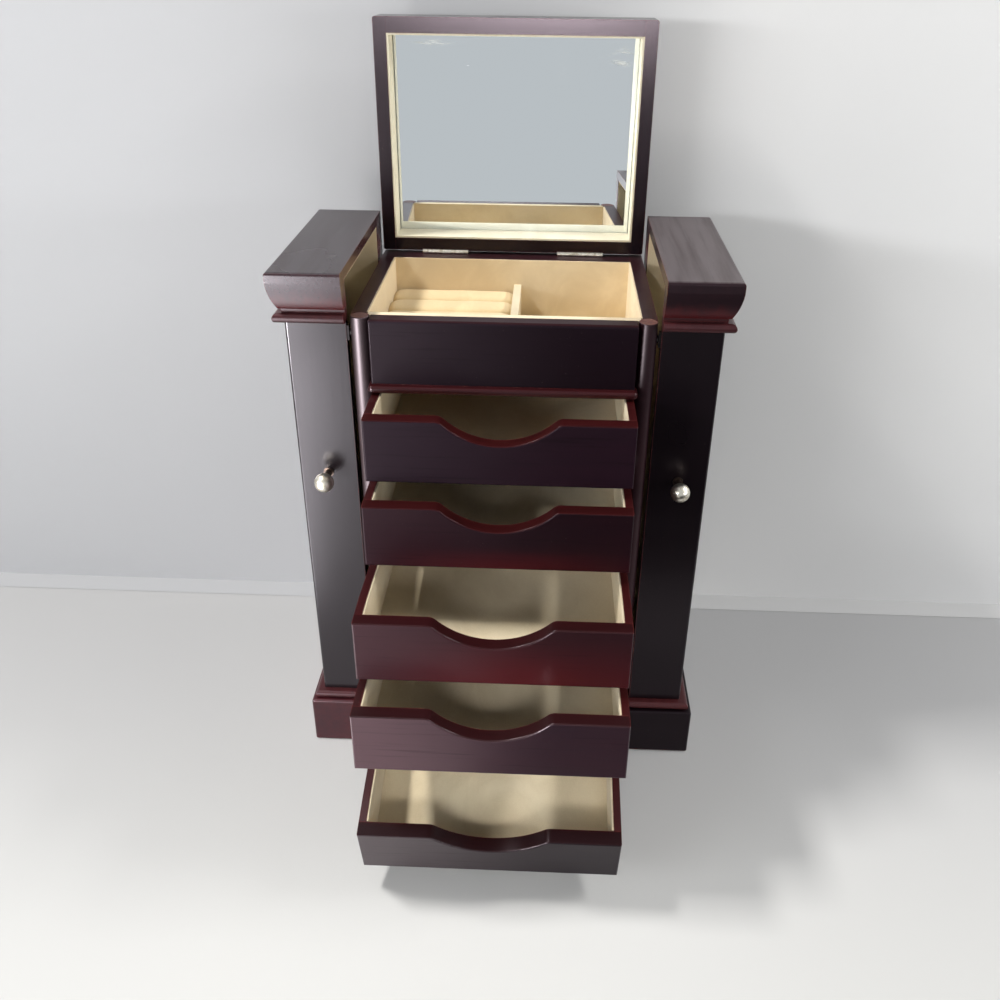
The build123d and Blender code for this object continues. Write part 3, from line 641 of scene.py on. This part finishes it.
seen = background(srgb(226, 227, 229), 1.0)
fill = background((0.93, 0.96, 1.0, 1.0), 0.15)
path = sky.nodes.new("ShaderNodeLightPath")
direct = path.outputs["Is Camera Ray"]
for kind in ("Is Glossy Ray", "Is Transmission Ray"):
    either = sky.nodes.new("ShaderNodeMath")
    either.operation = "MAXIMUM"
    sky.links.new(direct, either.inputs[0])
    sky.links.new(path.outputs[kind], either.inputs[1])
    direct = either.outputs[0]
choose = sky.nodes.new("ShaderNodeMixShader")
sky.links.new(direct, choose.inputs[0])
sky.links.new(fill, choose.inputs[1])
sky.links.new(seen, choose.inputs[2])
sky_out = sky.nodes.new("ShaderNodeOutputWorld")
sky.links.new(choose.outputs[0], sky_out.inputs[0])


def lamp(name, place, aim, size, watts, colour, spread=180, skips=None):
    """An area lamp at place that points at aim. skips is the kind of ray that doesn't see it."""
    data = bpy.data.lights.new(name, "AREA")
    data.shape = "RECTANGLE"
    data.size, data.size_y = size
    data.energy = watts
    data.color = colour
    data.spread = math.radians(spread)
    made = bpy.data.objects.new(name, data)
    made.location = place
    made.rotation_mode = "QUATERNION"
    made.rotation_quaternion = (Vector(aim) - Vector(place)).to_track_quat("-Z", "Y")
    bpy.context.collection.objects.link(made)
    if skips is not None:
        setattr(made, "visible_" + skips, False)


# Two lamps over the box, two low windows that reach under the drawers' rims, a low lamp without
# reflections for the bottom drawers, and two strips that only the lacquer reflects.
lamp("overhead", (-0.85, -0.15, 1.5), (0, -0.15, 0.2), (0.34, 0.14), 22, (1.0, 0.98, 0.95))
lamp("right overhead", (1.1, -0.15, 1.1), (0, -0.15, 0.1), (0.5, 0.16), 10, (1.0, 0.99, 0.97))
lamp("left window", (-1.07, -1.0, 0.64), (0, -0.05, 0.2), (1.0, 0.14), 11, (0.98, 0.99, 1.0))
lamp("right window", (1.25, -0.75, 0.5), (0.1, -0.05, 0.1), (0.9, 0.2), 5, (0.98, 0.99, 1.0))
lamp("low front", (0.02, -0.95, 0.50), (0, -0.22, 0.1), (0.4, 0.1), 0.16, (1.0, 0.98, 0.95),
     spread=30, skips="glossy")
lamp("front strip", (-0.05, -1.4, 0.55), (-0.05, 0.08, 0.62), (0.8, 0.12), 0.36,
     (1.0, 0.95, 0.98), spread=22, skips="diffuse")
lamp("left strip", (-0.62, -0.85, 0.16), (-0.1, -0.08, 0.27), (0.26, 0.26), 26,
     (1.0, 0.98, 0.98), skips="diffuse")

# ---------------------------------------------------------------- camera
FOCAL_PX = 982.8
CENTRE_PX = (513.0, 504.6)
PICTURE_PX = 1000
SENSOR_MM = 36
NEAR = 10 * MM
PITCH, YAW, ROLL = (math.radians(v) for v in (30.205, -1.949, 0.691))
EYE = Vector((0.02836, -0.68195, 0.57704))

forward = Vector((math.sin(YAW) * math.cos(PITCH), math.cos(YAW) * math.cos(PITCH),
                  -math.sin(PITCH)))
level = Vector((math.cos(YAW), -math.sin(YAW), 0))
upright = level.cross(forward)
right = level * math.cos(ROLL) + upright * math.sin(ROLL)
up = upright * math.cos(ROLL) - level * math.sin(ROLL)
lens = bpy.data.cameras.new("camera")
lens.sensor_width = SENSOR_MM
lens.lens = FOCAL_PX / PICTURE_PX * SENSOR_MM
lens.shift_x = (PICTURE_PX / 2 - CENTRE_PX[0]) / PICTURE_PX
lens.shift_y = (CENTRE_PX[1] - PICTURE_PX / 2) / PICTURE_PX
lens.clip_start = NEAR
eye = bpy.data.objects.new("camera", lens)
bpy.context.collection.objects.link(eye)
turned = Matrix((right, up, -forward)).transposed().to_4x4()
eye.matrix_world = Matrix.Translation(EYE) @ turned
bpy.context.scene.camera = eye

bpy.context.scene.view_settings.view_transform = "Standard"
